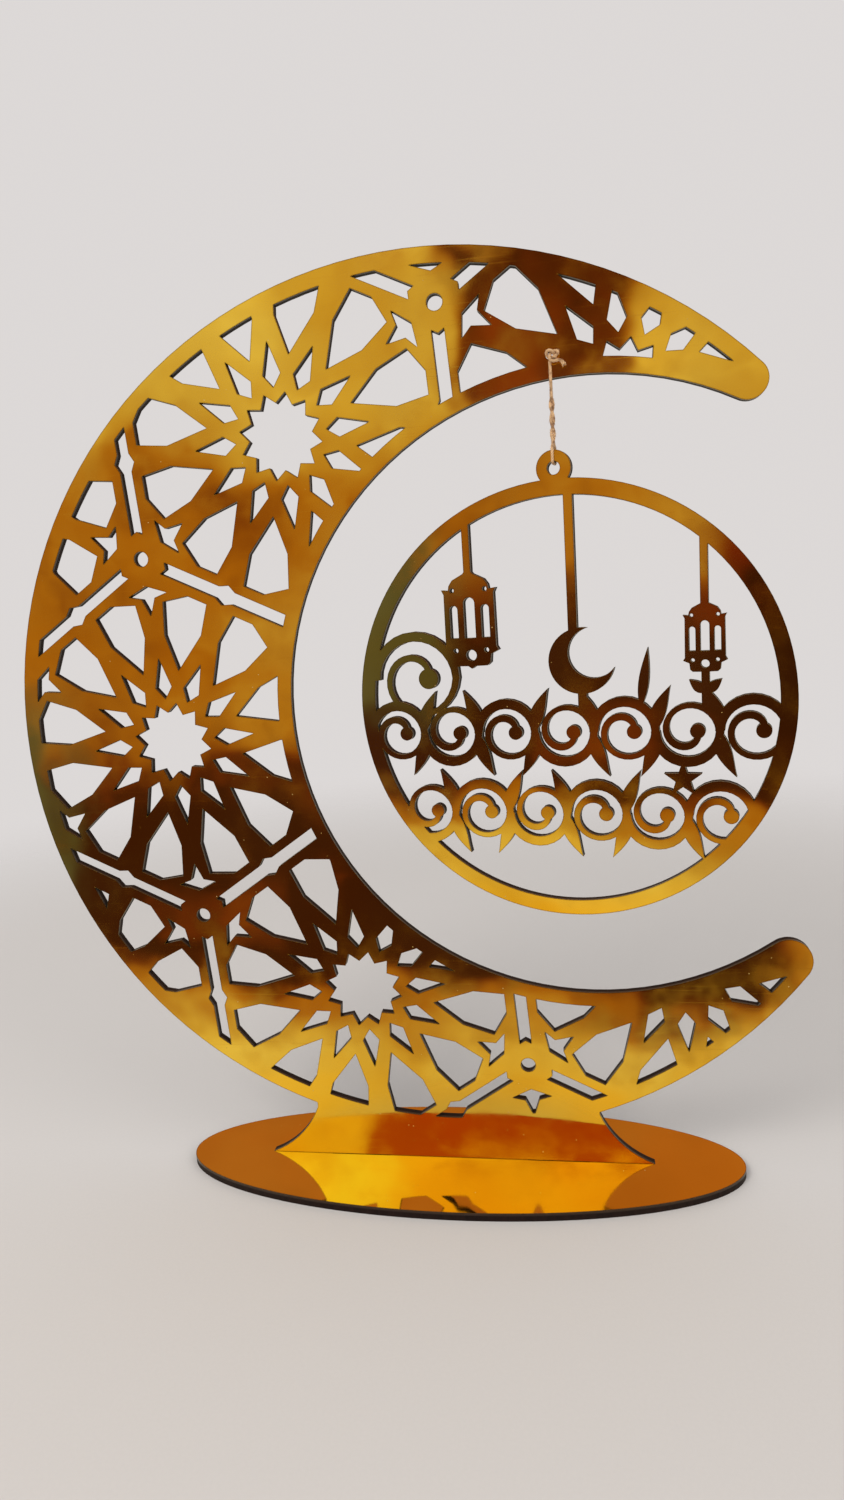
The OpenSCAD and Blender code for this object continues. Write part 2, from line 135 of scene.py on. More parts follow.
class StudioSettings(PropertyGroup):
    """Floor, backdrop and light."""

    floor_radius: FloatProperty(
        name="Floor radius",
        description="Radius of the round floor",
        unit="LENGTH",
        default=1.1,
    )
    floor_clear: FloatProperty(
        name="Clear floor",
        description="Radius inside which the floor is solid, before it fades away",
        unit="LENGTH",
        default=0.34,
    )
    floor_fade: FloatProperty(
        name="Floor fade",
        description="Radius at which the floor has faded into the backdrop",
        unit="LENGTH",
        default=0.8,
    )
    mirror_clear: FloatProperty(
        name="Mirrored floor",
        description="Radius inside which the mirrors show the floor",
        unit="LENGTH",
        default=0.04,
    )
    mirror_fade: FloatProperty(
        name="Mirrored floor's end",
        description="Radius outside which the mirrors show the room instead of the floor",
        unit="LENGTH",
        default=0.08,
    )
    floor_colour: FloatVectorProperty(
        name="Floor colour",
        description="Colour of the floor",
        subtype="COLOR",
        default=(0.70, 0.67, 0.66),
    )
    backdrop_colour: FloatVectorProperty(
        name="Backdrop colour",
        description="Colour behind the object",
        subtype="COLOR",
        default=(0.72, 0.69, 0.68),
    )
    room_light: FloatProperty(
        name="Room light",
        description="Strength of the even light from all round",
        default=0.62,
    )
    key_power: FloatProperty(
        name="Key light",
        description="Power of the strong lamp at the upper left",
        unit="POWER",
        default=13.0,
    )
    lamp_size: FloatProperty(
        name="Lamp size",
        description="Width of each soft lamp",
        unit="LENGTH",
        default=0.8,
    )
    fill_power: FloatProperty(
        name="Fill light",
        description="Power of the weak lamp at the right",
        unit="POWER",
        default=4.0,
    )


class SheetSettings(PropertyGroup):
    """Finish of the mirror sheets and the boards behind them."""

    gold: FloatVectorProperty(
        name="Gold",
        description="Tint of the mirror",
        subtype="COLOR",
        default=(0.91, 0.585, 0.065),
    )
    deep_gold: FloatVectorProperty(
        name="Deep gold",
        description="Tint where the mirror's coating is thicker",
        subtype="COLOR",
        default=(0.87, 0.49, 0.035),
    )
    cut_acrylic: FloatVectorProperty(
        name="Cut acrylic",
        description="Colour of the mirror sheet's cut edge",
        subtype="COLOR",
        default=(0.045, 0.024, 0.014),
    )
    coat_line: FloatVectorProperty(
        name="Coat line",
        description="Colour of the edge where the mirror coat meets the board",
        subtype="COLOR",
        default=(0.020, 0.010, 0.006),
    )
    board: FloatVectorProperty(
        name="Board",
        description="Colour of the board's back",
        subtype="COLOR",
        default=(0.105, 0.062, 0.040),
    )
    board_fibre: FloatVectorProperty(
        name="Board fibre",
        description="Colour of the pale fibres in the board",
        subtype="COLOR",
        default=(0.23, 0.145, 0.09),
    )
    scorch: FloatVectorProperty(
        name="Scorch",
        description="Colour of the edges that the laser burnt",
        subtype="COLOR",
        default=(0.009, 0.004, 0.003),
    )
    scorch_reach: FloatProperty(
        name="Scorch reach",
        description="How far the smoke mark spreads from a cut",
        unit="LENGTH",
        default=1.1 * MM,
    )
    ripple_length: FloatProperty(
        name="Ripple length",
        description="Distance between the soft waves in a mirror sheet",
        unit="LENGTH",
        default=38 * MM,
    )
    ripple_depth: FloatProperty(
        name="Ripple depth",
        description="Depth of the soft waves in a mirror sheet",
        unit="LENGTH",
        default=0.35 * MM,
    )
    rim_round: FloatProperty(
        name="Rim rounding",
        description="Radius at which a mirror sheet's rim catches the light",
        unit="LENGTH",
        default=0.12 * MM,
    )
    burnt_line: FloatProperty(
        name="Burnt line",
        description="How far the laser darkened the mirror beside a cut",
        unit="LENGTH",
        default=0.8 * MM,
    )
    crescent_bow: FloatProperty(
        name="Crescent bow",
        description="How far the crescent's mirror faces up, as thin sheet bows on its board",
        subtype="ANGLE",
        default=math.radians(0.7),
    )
    medallion_bow: FloatProperty(
        name="Medallion bow",
        description="How far the medallion's mirror faces down, as thin sheet bows on its board",
        subtype="ANGLE",
        default=math.radians(3.9),
    )


class ThreadSettings(PropertyGroup):
    """Sizes and colours of the thread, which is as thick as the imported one."""

    radius: FloatProperty(
        name="Radius",
        description="Radius of the whole thread",
        unit="LENGTH",
        default=0.5 * MM,
    )
    plies: IntProperty(
        name="Plies",
        description="Number of plies twisted together",
        default=3,
        min=2,
        max=5,
    )
    ply_radius: FloatProperty(
        name="Ply radius",
        description="Radius of one ply",
        unit="LENGTH",
        default=0.27 * MM,
    )
    lay_length: FloatProperty(
        name="Lay length",
        description="Length in which a ply goes once round",
        unit="LENGTH",
        default=2.5 * MM,
    )
    fibres: IntProperty(
        name="Loose fibres",
        description="Loose fibres for every centimetre of thread",
        default=34,
        min=0,
    )
    colour: FloatVectorProperty(
        name="Colour",
        description="Colour of the thread",
        subtype="COLOR",
        default=(0.60, 0.38, 0.20),
    )
    worn: FloatVectorProperty(
        name="Worn",
        description="Colour of the thread's dark patches",
        subtype="COLOR",
        default=(0.24, 0.10, 0.04),
    )
    # Painted shade: the colour painted between the plies, where their shadow falls
    shade: FloatVectorProperty(
        name="Shade",
        description="Colour between the plies",
        subtype="COLOR",
        default=(0.13, 0.05, 0.02),
    )


class OrnamentSettings(PropertyGroup):
    """All settings of the ornament's looks."""

    camera: PointerProperty(type=CameraSettings)
    studio: PointerProperty(type=StudioSettings)
    sheets: PointerProperty(type=SheetSettings)
    thread: PointerProperty(type=ThreadSettings)


# Helpers for node trees

# A Mix node's sockets by number, because those for numbers and for colours share their names
MIX_SHARE = 0
MIX_VALUES = (2, 3)
MIX_COLOURS = (6, 7)
MIX_COLOUR_OUT = 2

NUMBER_SOCKET = "NodeSocketFloat"
VECTOR_SOCKET = "NodeSocketVector"
NO_VECTOR = (0.0, 0.0, 0.0)


def fill(tree, node, inputs):
    """Give a node's inputs their values, or link them to sockets."""
    for key, value in inputs.items():
        if isinstance(value, bpy.types.NodeSocket):
            tree.links.new(value, node.inputs[key])
        else:
            node.inputs[key].default_value = value
    return node


def put(tree, kind, inputs=None, **settings):
    """Add a node, set its settings and fill its inputs."""
    node = tree.nodes.new(kind)
    for name, value in settings.items():
        setattr(node, name, value)
    return fill(tree, node, inputs or {})


def maths(tree, operation, a, b=0.0, c=0.0):
    """The result of a Math node."""
    return put(tree, "ShaderNodeMath", {0: a, 1: b, 2: c}, operation=operation).outputs[0]


def rest_of(tree, share):
    """What a share leaves of one."""
    return maths(tree, "SUBTRACT", 1.0, share)


def vector_maths(tree, operation, a, b=NO_VECTOR):
    """The outputs of a Vector Math node."""
    return put(tree, "ShaderNodeVectorMath", {0: a, 1: b}, operation=operation).outputs


def scaled(tree, vector, by):
    """A vector made longer or shorter by a number."""
    inputs = {0: vector, "Scale": by}
    return put(tree, "ShaderNodeVectorMath", inputs, operation="SCALE").outputs[0]


def rise(tree, value, low, high, to_low=0.0, to_high=1.0):
    """A soft step from to_low up to to_high, while value goes from low to high."""
    return put(
        tree,
        "ShaderNodeMapRange",
        {"Value": value, "From Min": low, "From Max": high, "To Min": to_low, "To Max": to_high},
        interpolation_type="SMOOTHSTEP",
    ).outputs[0]


def fall(tree, value, low, high):
    """A soft step from one down to nothing, while value goes from low to high."""
    return rise(tree, value, low, high, 1.0, 0.0)


def rgba(colour):
    """A colour as four numbers; a socket stays as it is."""
    if isinstance(colour, bpy.types.NodeSocket) or len(colour) == 4:
        return colour
    return (*colour, 1.0)


def toned(colour, by):
    """A colour made lighter or darker, as three numbers."""
    return [min(1.0, by * part) for part in colour]


def mix_colour(tree, share, a, b):
    """The colour that goes from a to b with share."""
    inputs = {MIX_SHARE: share, MIX_COLOURS[0]: rgba(a), MIX_COLOURS[1]: rgba(b)}
    return put(tree, "ShaderNodeMix", inputs, data_type="RGBA").outputs[MIX_COLOUR_OUT]


def mix_value(tree, share, a, b):
    """The number that goes from a to b with share."""
    inputs = {MIX_SHARE: share, MIX_VALUES[0]: a, MIX_VALUES[1]: b}
    return put(tree, "ShaderNodeMix", inputs, data_type="FLOAT").outputs[0]


def mix_shader(tree, share, a, b):
    """The shader that goes from a to b with share."""
    return put(tree, "ShaderNodeMixShader", {0: share, 1: a, 2: b}).outputs[0]


def noise(tree, vector, scale, detail=2.0, rough=0.5):
    """The value of a Noise Texture."""
    return put(
        tree,
        "ShaderNodeTexNoise",
        {"Vector": vector, "Scale": scale, "Detail": detail, "Roughness": rough},
    ).outputs["Fac"]


def bumped(tree, height, normal=None):
    """The normal that a height in metres gives a surface."""
    node = put(tree, "ShaderNodeBump", {"Height": height, "Distance": 1.0, "Strength": 1.0})
    if normal is not None:
        fill(tree, node, {"Normal": normal})
    return node.outputs[0]


def node_group(name, inputs, outputs):
    """An empty shader node group, and its input and output nodes.

    inputs holds each input's default, and outputs each output's kind of socket.
    """
    group = bpy.data.node_groups.new(name, "ShaderNodeTree")
    for label, value in inputs.items():
        kind = VECTOR_SOCKET if isinstance(value, tuple) else NUMBER_SOCKET
        socket = group.interface.new_socket(label, in_out="INPUT", socket_type=kind)
        socket.default_value = value
    for label, kind in outputs.items():
        group.interface.new_socket(label, in_out="OUTPUT", socket_type=kind)
    return group, group.nodes.new("NodeGroupInput").outputs, group.nodes.new("NodeGroupOutput")


def new_material(name):
    """A material, its tree and the Principled shader in it."""
    material = bpy.data.materials.new(name)
    material.use_nodes = True
    tree = material.node_tree
    tree.nodes.clear()
    shader = put(tree, "ShaderNodeBsdfPrincipled")
    put(tree, "ShaderNodeOutputMaterial", {"Surface": shader.outputs[0]})
    return material, tree, shader


# Effects that several materials share. Each _STEP holds where a soft step starts and ends,
# and each _TIMES how many times as fine as the effect's main pattern another one is.

FACE_STEP = (0.55, 0.85)

LINE_PITCH = 0.25 * MM
COARSE_LINE_TIMES = 0.12
COARSE_LINE_SHARE = 0.5
LINE_TONE_STEP = (0.35, 0.65)

SMUDGE_SIZE = 20 * MM
SMUDGE_STEP = (0.42, 0.72)
SPECK_TIMES = 9.0
SPECK_STEP = (0.05, 0.11)
DUST_PATCH_TIMES = 5.0
DUST_PATCH_STEP = (0.6, 0.7)
SCRATCH_TIMES = 0.7
SCRATCH_STEP = (0.76, 0.80)

# Two sets of scratches: how each is turned, and how long and thin it is drawn
SCRATCH_SETS = [((0.3, 0.5, 0.2), 60.0), ((0.3, -0.9, 0.2), 45.0)]


def cut_sheet_group():
    """Tells a sheet's flat face from its cut edge, and gives the depth below its front."""
    group, given, result = node_group(
        "cut_sheet",
        {"Facing": (0.0, -1.0, 0.0), "Front": 0.0, "Thickness": 1 * MM},
        {"Face": NUMBER_SOCKET, "Depth": NUMBER_SOCKET, "Along": VECTOR_SOCKET},
    )
    coords = put(group, "ShaderNodeTexCoord").outputs
    place, facing = coords["Object"], given["Facing"]
    turned = vector_maths(group, "DOT_PRODUCT", coords["Normal"], facing)["Value"]
    height = vector_maths(group, "DOT_PRODUCT", place, facing)["Value"]
    below = maths(group, "SUBTRACT", given["Front"], height)
    along = vector_maths(group, "SUBTRACT", place, scaled(group, facing, height))[0]
    facts = {
        "Face": rise(group, maths(group, "ABSOLUTE", turned), *FACE_STEP),
        "Depth": maths(group, "DIVIDE", below, given["Thickness"]),
        "Along": along,
    }
    fill(group, result, facts)
    return group


def laser_lines_group():
    """Fine lines that a laser leaves across a cut edge, as a height and a tone."""
    group, given, result = node_group(
        "laser_lines",
        {"Along": NO_VECTOR, "Pitch": LINE_PITCH},
        {"Height": NUMBER_SOCKET, "Tone": NUMBER_SOCKET},
    )
    scale = maths(group, "DIVIDE", 1.0, given["Pitch"])
    coarse_scale = maths(group, "MULTIPLY", scale, COARSE_LINE_TIMES)
    fine = noise(group, given["Along"], scale, rough=0.6)
    coarse = noise(group, given["Along"], coarse_scale, detail=1.0)
    tone = mix_value(group, COARSE_LINE_SHARE, fine, coarse)
    fill(group, result, {"Height": fine, "Tone": rise(group, tone, *LINE_TONE_STEP)})
    return group


def handling_group():
    """Finger smudges, dust specks and hairline scratches on a polished face."""
    group, given, result = node_group(
        "handling",
        {"Vector": NO_VECTOR, "Size": SMUDGE_SIZE},
        {"Smudge": NUMBER_SOCKET, "Dust": NUMBER_SOCKET, "Scratch": NUMBER_SOCKET},
    )
    place = given["Vector"]
    scale = maths(group, "DIVIDE", 1.0, given["Size"])
    speck_scale, patch_scale, scratch_scale = [
        maths(group, "MULTIPLY", scale, times)
        for times in (SPECK_TIMES, DUST_PATCH_TIMES, SCRATCH_TIMES)
    ]
    specks = put(group, "ShaderNodeTexVoronoi", {"Vector": place, "Scale": speck_scale})
    dust = fall(group, specks.outputs["Distance"], *SPECK_STEP)
    patches = rise(group, noise(group, place, patch_scale, detail=1.0), *DUST_PATCH_STEP)
    scratches = []
    for turn, stretch in SCRATCH_SETS:
        inputs = {"Vector": place, "Rotation": turn, "Scale": (1.0, stretch, stretch)}
        drawn_out = put(group, "ShaderNodeMapping", inputs).outputs[0]
        streaks = noise(group, drawn_out, scratch_scale, detail=0.0)
        scratches.append(rise(group, streaks, *SCRATCH_STEP))
    smudges = noise(group, place, scale, detail=3.0, rough=0.55)
    marks = {
        "Smudge": rise(group, smudges, *SMUDGE_STEP),
        "Dust": maths(group, "MULTIPLY", dust, patches),
        "Scratch": maths(group, "MAXIMUM", *scratches),
    }
    fill(group, result, marks)
    return group


GROUP_MAKERS = {
    "cut_sheet": cut_sheet_group,
    "laser_lines": laser_lines_group,
    "handling": handling_group,
}


def use_group(tree, name, inputs):
    """The outputs of a shared node group, which is built when it is first used."""
    group = bpy.data.node_groups.get(name) or GROUP_MAKERS[name]()
    return put(tree, "ShaderNodeGroup", inputs, node_tree=group).outputs


# Finishes. Each _ROUGH is what a thing adds to the roughness, each _COVER how much of the
# colour below it hides, and each _TONE how light a line or patch is beside its ground.

BEVEL_SAMPLES = 6
RIM_SAMPLES = 4

GOLD_PATCH_WIDER = 1.4
GOLD_PATCH_STEP = (0.35, 0.65)
DUST_COLOUR = (0.55, 0.5, 0.42)
DUST_COVER = 0.5
BURNT_STEP = (0.80, 0.975)
BURNT_COVER = 0.85
COAT_LINE_STEP = (0.55, 1.0)
ACRYLIC_LINE_TONE = 0.7
ACRYLIC_LINE_HEIGHT = 0.04 * MM
MIRROR_ROUGH = 0.045
HANDLING_ROUGH = {"Smudge": 0.10, "Scratch": 0.03, "Dust": 0.4}
CUT_ROUGH = 0.3

FIBRE_SCALE = 2600.0
FIBRE_STEP = (0.5, 0.75)
FIBRE_HEIGHT = 0.03 * MM
CLUMP_SCALE = 320.0
CLUMP_STEP = (0.3, 0.7)
SMOKE_STEP = (0.72, 0.995)
SMOKE_PATCH_SCALE = 500.0
SMOKE_PATCH_STEP = (0.25, 0.75)
SMOKE_LEAST = 0.55
BOARD_LINE_TONE = 2.0
BOARD_LINE_HEIGHT = 0.08 * MM
BOARD_ROUGH = 0.52
FIBRE_ROUGH = 0.25

YARN_SLANT_ALONG = 900.0
YARN_SLANT_AROUND = 2.0
YARN_ALONG = 2200.0
YARN_AROUND = 9.0
YARN_FIBRE_TONE = 0.8
YARN_PATCH_TONE = 0.4
YARN_PATCH_SCALE = 420.0
YARN_PALE = 1.45
YARN_PALE_STEP = (0.45, 0.8)
WORN_SCALE = 560.0
WORN_STEP = (0.46, 0.66)
WORN_COVER = 0.75
YARN_ROUGH = 0.72
YARN_FIBRE_ROUGH = 0.15
YARN_FIBRE_HEIGHT = 0.05 * MM


def sheet_look(node, finish, facing):
    """A sheet's material, tree and shader, and the outputs that tell its face and its lines."""
    material, tree, shader = new_material(f"{node}_{finish}")
    ahead = [facing.dot(v.co) for v in frame["nodes"][node].data.vertices]
    facts = {"Facing": facing, "Front": max(ahead), "Thickness": max(ahead) - min(ahead)}
    sheet = use_group(tree, "cut_sheet", facts)
    lines = use_group(tree, "laser_lines", {"Along": sheet["Along"], "Pitch": LINE_PITCH})
    return material, tree, shader, sheet, lines


def beside_cut(tree, reach, full, none):
    """How near a point is to a cut, from how far a rounded edge would turn the surface there."""
    rounded = put(tree, "ShaderNodeBevel", {"Radius": reach}, samples=BEVEL_SAMPLES)
    straight = put(tree, "ShaderNodeNewGeometry").outputs["Normal"]
    alike = vector_maths(tree, "DOT_PRODUCT", rounded.outputs[0], straight)["Value"]
    return fall(tree, alike, full, none)


def gold_mirror(node, facing, settings, lean=0.0):
    """Gold mirror acrylic: a wavy mirror face, bowed forward by lean, and a smoky cut edge."""
    material, tree, shader, sheet, lines = sheet_look(node, "gold", facing)
    face, cut = sheet["Face"], rest_of(tree, sheet["Face"])
    place = put(tree, "ShaderNodeTexCoord").outputs["Object"]
    handling = use_group(tree, "handling", {"Vector": place, "Size": SMUDGE_SIZE})

    patches = noise(tree, place, 1.0 / (GOLD_PATCH_WIDER * settings.ripple_length))
    deep = rise(tree, patches, *GOLD_PATCH_STEP)
    gold = mix_colour(tree, deep, settings.gold, settings.deep_gold)
    dusty = maths(tree, "MULTIPLY", handling["Dust"], DUST_COVER)
    gold = mix_colour(tree, dusty, gold, DUST_COLOUR)
    burnt = beside_cut(tree, settings.burnt_line, *BURNT_STEP)
    burnt = maths(tree, "MULTIPLY", burnt, BURNT_COVER)
    gold = mix_colour(tree, burnt, gold, settings.cut_acrylic)
    line_colour = toned(settings.cut_acrylic, ACRYLIC_LINE_TONE)
    edge = mix_colour(tree, lines["Tone"], settings.cut_acrylic, line_colour)
    back = rise(tree, sheet["Depth"], *COAT_LINE_STEP)
    edge = mix_colour(tree, back, edge, settings.coat_line)

    rough = MIRROR_ROUGH
    for mark, added in HANDLING_ROUGH.items():
        rough = maths(tree, "MULTIPLY_ADD", handling[mark], added, rough)
    rough = maths(tree, "MULTIPLY_ADD", cut, CUT_ROUGH, rough)

    waves = noise(tree, place, 1.0 / settings.ripple_length, rough=0.4)
    waves = maths(tree, "MULTIPLY", waves, settings.ripple_depth)
    up = put(tree, "ShaderNodeSeparateXYZ", {0: place}).outputs["Z"]
    waves = maths(tree, "MULTIPLY_ADD", up, math.tan(lean), waves)
    ridges = maths(tree, "MULTIPLY", lines["Height"], ACRYLIC_LINE_HEIGHT)
    ridges = maths(tree, "MULTIPLY", ridges, cut)
    height = maths(tree, "ADD", maths(tree, "MULTIPLY", waves, face), ridges)
    rim = put(tree, "ShaderNodeBevel", {"Radius": settings.rim_round}, samples=RIM_SAMPLES)
    look = {
        "Base Color": mix_colour(tree, face, edge, gold),
        "Metallic": maths(tree, "MULTIPLY", face, rest_of(tree, dusty)),
        "Roughness": rough,
        "Normal": bumped(tree, height, rim.outputs[0]),
        "Coat Weight": 0.1,
        "Coat Roughness": 0.03,
        "Specular IOR Level": 0.2,
    }
    fill(tree, shader, look)
    return material


def dark_board(node, facing, settings):
    """Dark fibreboard with burnt edges and a smoke mark along every cut."""
    material, tree, shader, sheet, lines = sheet_look(node, "fibreboard", facing)
    face = sheet["Face"]
    place = put(tree, "ShaderNodeTexCoord").outputs["Object"]

    fibres = noise(tree, place, FIBRE_SCALE, detail=3.0, rough=0.65)
    clumps = noise(tree, place, CLUMP_SCALE, detail=3.0, rough=0.6)
    clumps = rise(tree, clumps, *CLUMP_STEP)
    pale = maths(tree, "MULTIPLY", rise(tree, fibres, *FIBRE_STEP), clumps)
    board = mix_colour(tree, pale, settings.board, settings.board_fibre)
    patches = noise(tree, place, SMOKE_PATCH_SCALE)
    patches = rise(tree, patches, *SMOKE_PATCH_STEP, to_low=SMOKE_LEAST)
    smoke = beside_cut(tree, settings.scorch_reach, *SMOKE_STEP)
    smoke = maths(tree, "MULTIPLY", smoke, patches)
    board = mix_colour(tree, smoke, board, settings.scorch)
    line_colour = toned(settings.scorch, BOARD_LINE_TONE)
    burnt = mix_colour(tree, lines["Tone"], settings.scorch, line_colour)

    grain = maths(tree, "MULTIPLY", fibres, FIBRE_HEIGHT)
    ridges = maths(tree, "MULTIPLY", lines["Height"], BOARD_LINE_HEIGHT)
    look = {
        "Base Color": mix_colour(tree, face, burnt, board),
        "Roughness": maths(tree, "MULTIPLY_ADD", fibres, FIBRE_ROUGH, BOARD_ROUGH),
        "Normal": bumped(tree, mix_value(tree, face, ridges, grain)),
        "Specular IOR Level": 0.15,
    }
    fill(tree, shader, look)
    return material


def spun_thread(settings):
    """Spun cotton yarn: fibres lie along each ply, with shade painted darker between the plies."""
    material, tree, shader = new_material("spun_thread")
    along, around, ply_shade = [
        put(tree, "ShaderNodeAttribute", attribute_name=fact).outputs["Fac"]
        for fact in YARN_FACTS
    ]
    slanted = maths(tree, "MULTIPLY", around, YARN_SLANT_AROUND)
    slanted = maths(tree, "MULTIPLY_ADD", along, YARN_SLANT_ALONG, slanted)
    turned = maths(tree, "MULTIPLY", around, YARN_AROUND)
    drawn_out = maths(tree, "MULTIPLY", along, YARN_ALONG)
    spun = put(tree, "ShaderNodeCombineXYZ", {"X": slanted, "Y": turned, "Z": drawn_out})
    fibres = noise(tree, spun.outputs[0], 1.0, detail=3.0, rough=0.6)

    place = put(tree, "ShaderNodeTexCoord").outputs["Object"]
    tone = maths(tree, "MULTIPLY", noise(tree, place, YARN_PATCH_SCALE), YARN_PATCH_TONE)
    tone = maths(tree, "MULTIPLY_ADD", fibres, YARN_FIBRE_TONE, tone)
    pale = rise(tree, tone, *YARN_PALE_STEP)
    yarn = mix_colour(tree, pale, settings.colour, toned(settings.colour, YARN_PALE))
    worn = rise(tree, noise(tree, place, WORN_SCALE), *WORN_STEP, to_high=WORN_COVER)
    yarn = mix_colour(tree, worn, yarn, settings.worn)
    look = {
        # Painted shade: the yarn darkens to the shade colour between the plies
        "Base Color": mix_colour(tree, ply_shade, yarn, settings.shade),
        "Roughness": maths(tree, "MULTIPLY_ADD", fibres, YARN_FIBRE_ROUGH, YARN_ROUGH),
        "Normal": bumped(tree, maths(tree, "MULTIPLY", fibres, YARN_FIBRE_HEIGHT)),
        "Sheen Weight": 0.25,
        "Sheen Roughness": 0.5,
    }
    fill(tree, shader, look)
    return material


def finish_sheets(part, facing, settings, lean=0.0):
    """Finish a part's board and the mirror sheet on it."""
    board, mirror = part + "_board", part + "_mirror"
    finishes = {
        board: dark_board(board, facing, settings),
        mirror: gold_mirror(mirror, facing, settings, lean),
    }
    for node, material in finishes.items():
        slots = frame["nodes"][node].data.materials
        slots.clear()
        slots.append(material)


# The thread's route, in millimetres from the middle of its hole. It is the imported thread's,
# but for a smaller knot with a higher tail, and two wound strands that press together.

SHEET_T = 3.0
THREAD_R = 0.5
THREAD_GAP = 0.15
STRAND_BITE = 0.08
HANG_EDGE = 7.0
HANG_DROP = 34.4
MERGE_LEN = 4.7
SPREAD_LEN = 3.0
EYELET_R = 5.7
EYELET_HOLE_R = 2.1
THREAD_HOLE_R = 1.3
SWING_GAP = 0.7
END_GAP = 0.25
BEND_HOLLOW = 0.25
FACE_Y = SHEET_T / 2 + THREAD_R + THREAD_GAP
PAIR_R = (2 * THREAD_R - STRAND_BITE) / 2
BEND_R = THREAD_R + BEND_HOLLOW
THROUGH_Z = -(THREAD_HOLE_R - THREAD_R - THREAD_GAP)
MERGE_Z = -HANG_EDGE - MERGE_LEN
SPREAD_Z = -HANG_DROP + EYELET_R + SPREAD_LEN
BIGHT_Z = -HANG_DROP + EYELET_HOLE_R - THREAD_R - THREAD_GAP / 2
PAIR_TURNS = 1.5
KNOT_X = 0.8
KNOT_Z = -0.35
KNOT_S = 0.66
KNOT_H = 0.80
KNOT_FROM = 212
KNOT_TO = 520
KNOT_STEPS = 28
KNOT_START = [(0, -0.9, -0.65), (0.3, -1.7, -0.9)]
KNOT_TAIL = [(1.3, -3.2, -2.2), (2.6, -2.9, -1.9), (3.7, -2.6, -2.4), (4.6, -2.4, -3.7)]
FRONT_START = 2

# Where the thread is parted into an upper and a lower piece: halfway down the wound strands, so
# that the lower piece holds their lower half and the bight
SEAM_Z = (MERGE_Z - SWING_GAP + SPREAD_Z) / 2

# How finely the yarn is made, how its plies swell, and how they part at the loose end
SAME_PLACE = 1e-7
FINE_STEPS = 12
STEP_SHARE = 0.55
PLY_SIDES = 8
PLY_SWELL = 0.05
PLY_SWELL_LENGTH = 0.19 * MM
FRAY_SPREAD = 1.5
FRAY_LENGTH = 4.0
FRAY_ENDS = (0.85, 0.55)

# Which random draws the loose fibres take. Then a fibre's sizes as shares of the thread's
# radius: how far from the middle it starts, reaches out, runs along and bends aside. Then
# how far it curls back, and its own radius in metres with its taper from root to tip
FIBRE_SEED = 5
FIBRE_ROOT = 0.8
FIBRE_REACH = (0.25, 0.75)
FIBRE_RUN = (0.8, 2.4)
FIBRE_BEND = (-0.6, 0.6)
FIBRE_CURL = math.pi * 0.75
FIBRE_SIDES = 3
FIBRE_RADIUS = 0.022 * MM
FIBRE_TAPER = {0: 1, 0.25: 1, 0.5: 1, 0.75: 0.8, 1: 0.4}

# What each point is told, for the yarn's material: how far along and round its ply it
# lies, and how deep between the plies, which sets the shade painted there
YARN_FACTS = ("along", "around", "ply_shade")


def drawn(y1, z1, y2, z2, steps=5):
    """A smooth run in the Y-Z plane from one depth and height to another."""
    shares = [k / steps for k in range(steps + 1)]
    return [
        (0, y1 + (y2 - y1) * (1 - math.cos(math.pi * t)) / 2, z1 + (z2 - z1) * t)
        for t in shares
    ]


def quarter(y_sign, z_centre, z_sign, steps=3):
    """A quarter bend between the sheet's thickness and its face."""
    turns = [math.pi / 2 * k / steps for k in range(steps + 1)]
    return [
        (
            0,
            y_sign * (FACE_Y - BEND_R + BEND_R * math.sin(a)),
            z_centre + z_sign * (BEND_R - BEND_R * math.cos(a)),
        )
        for a in turns
    ]


def knot_route():
    """An open overhand knot, which is most of a trefoil, with a short tail."""
    knot_y = -FACE_Y - KNOT_H
    route = []
    for k in range(KNOT_STEPS + 1):
        t = math.radians(KNOT_FROM + (KNOT_TO - KNOT_FROM) * k / KNOT_STEPS)
        route.append(
            (
                KNOT_X + KNOT_S * (math.sin(t) + 2 * math.sin(2 * t)),
                knot_y - KNOT_H * math.sin(3 * t),
                KNOT_Z + KNOT_S * (math.cos(t) - 2 * math.cos(2 * t)),
            )
        )
    return KNOT_START + route + KNOT_TAIL


def front_route():
    """The strand that runs down the crescent's front from the knot."""
    start = [(0, -FACE_Y, -FRONT_START), (0, -FACE_Y, -HANG_EDGE / 2)]
    return start + drawn(-FACE_Y, -HANG_EDGE, -PAIR_R, MERGE_Z)


def back_route():
    """The strand that runs through the hole and down the crescent's back."""
    through = [(0, -SHEET_T / 2, THROUGH_Z), (0, 0, THROUGH_Z)]
    down = [(0, FACE_Y, -HANG_EDGE / 2)] + drawn(FACE_Y, -HANG_EDGE, PAIR_R, MERGE_Z)
    return through + quarter(1, THROUGH_Z, -1) + down


def pair_route(start, steps=13):
    """One of the two strands wound round each other, from its starting angle."""
    top = MERGE_Z - SWING_GAP
    route = []
    for k in range(steps + 1):
        t = k / steps
        a = math.radians(start) + t * (2 * math.pi * PAIR_TURNS + REST_TURN)
        route.append((PAIR_R * math.cos(a), PAIR_R * math.sin(a), top + t * (SPREAD_Z - top)))
    return route


def bight_route():
    """The loop's lower end, through the eyelet, turned as the medallion hangs."""
    half = quarter(1, BIGHT_Z, 1) + drawn(FACE_Y, -HANG_DROP + EYELET_R, PAIR_R, SPREAD_Z - END_GAP)
    route = [(x, -y, z) for x, y, z in reversed(half)] + half
    turn = Matrix.Rotation(REST_TURN, 3, "Z")
    return [tuple(turn @ Vector(p)) for p in route]


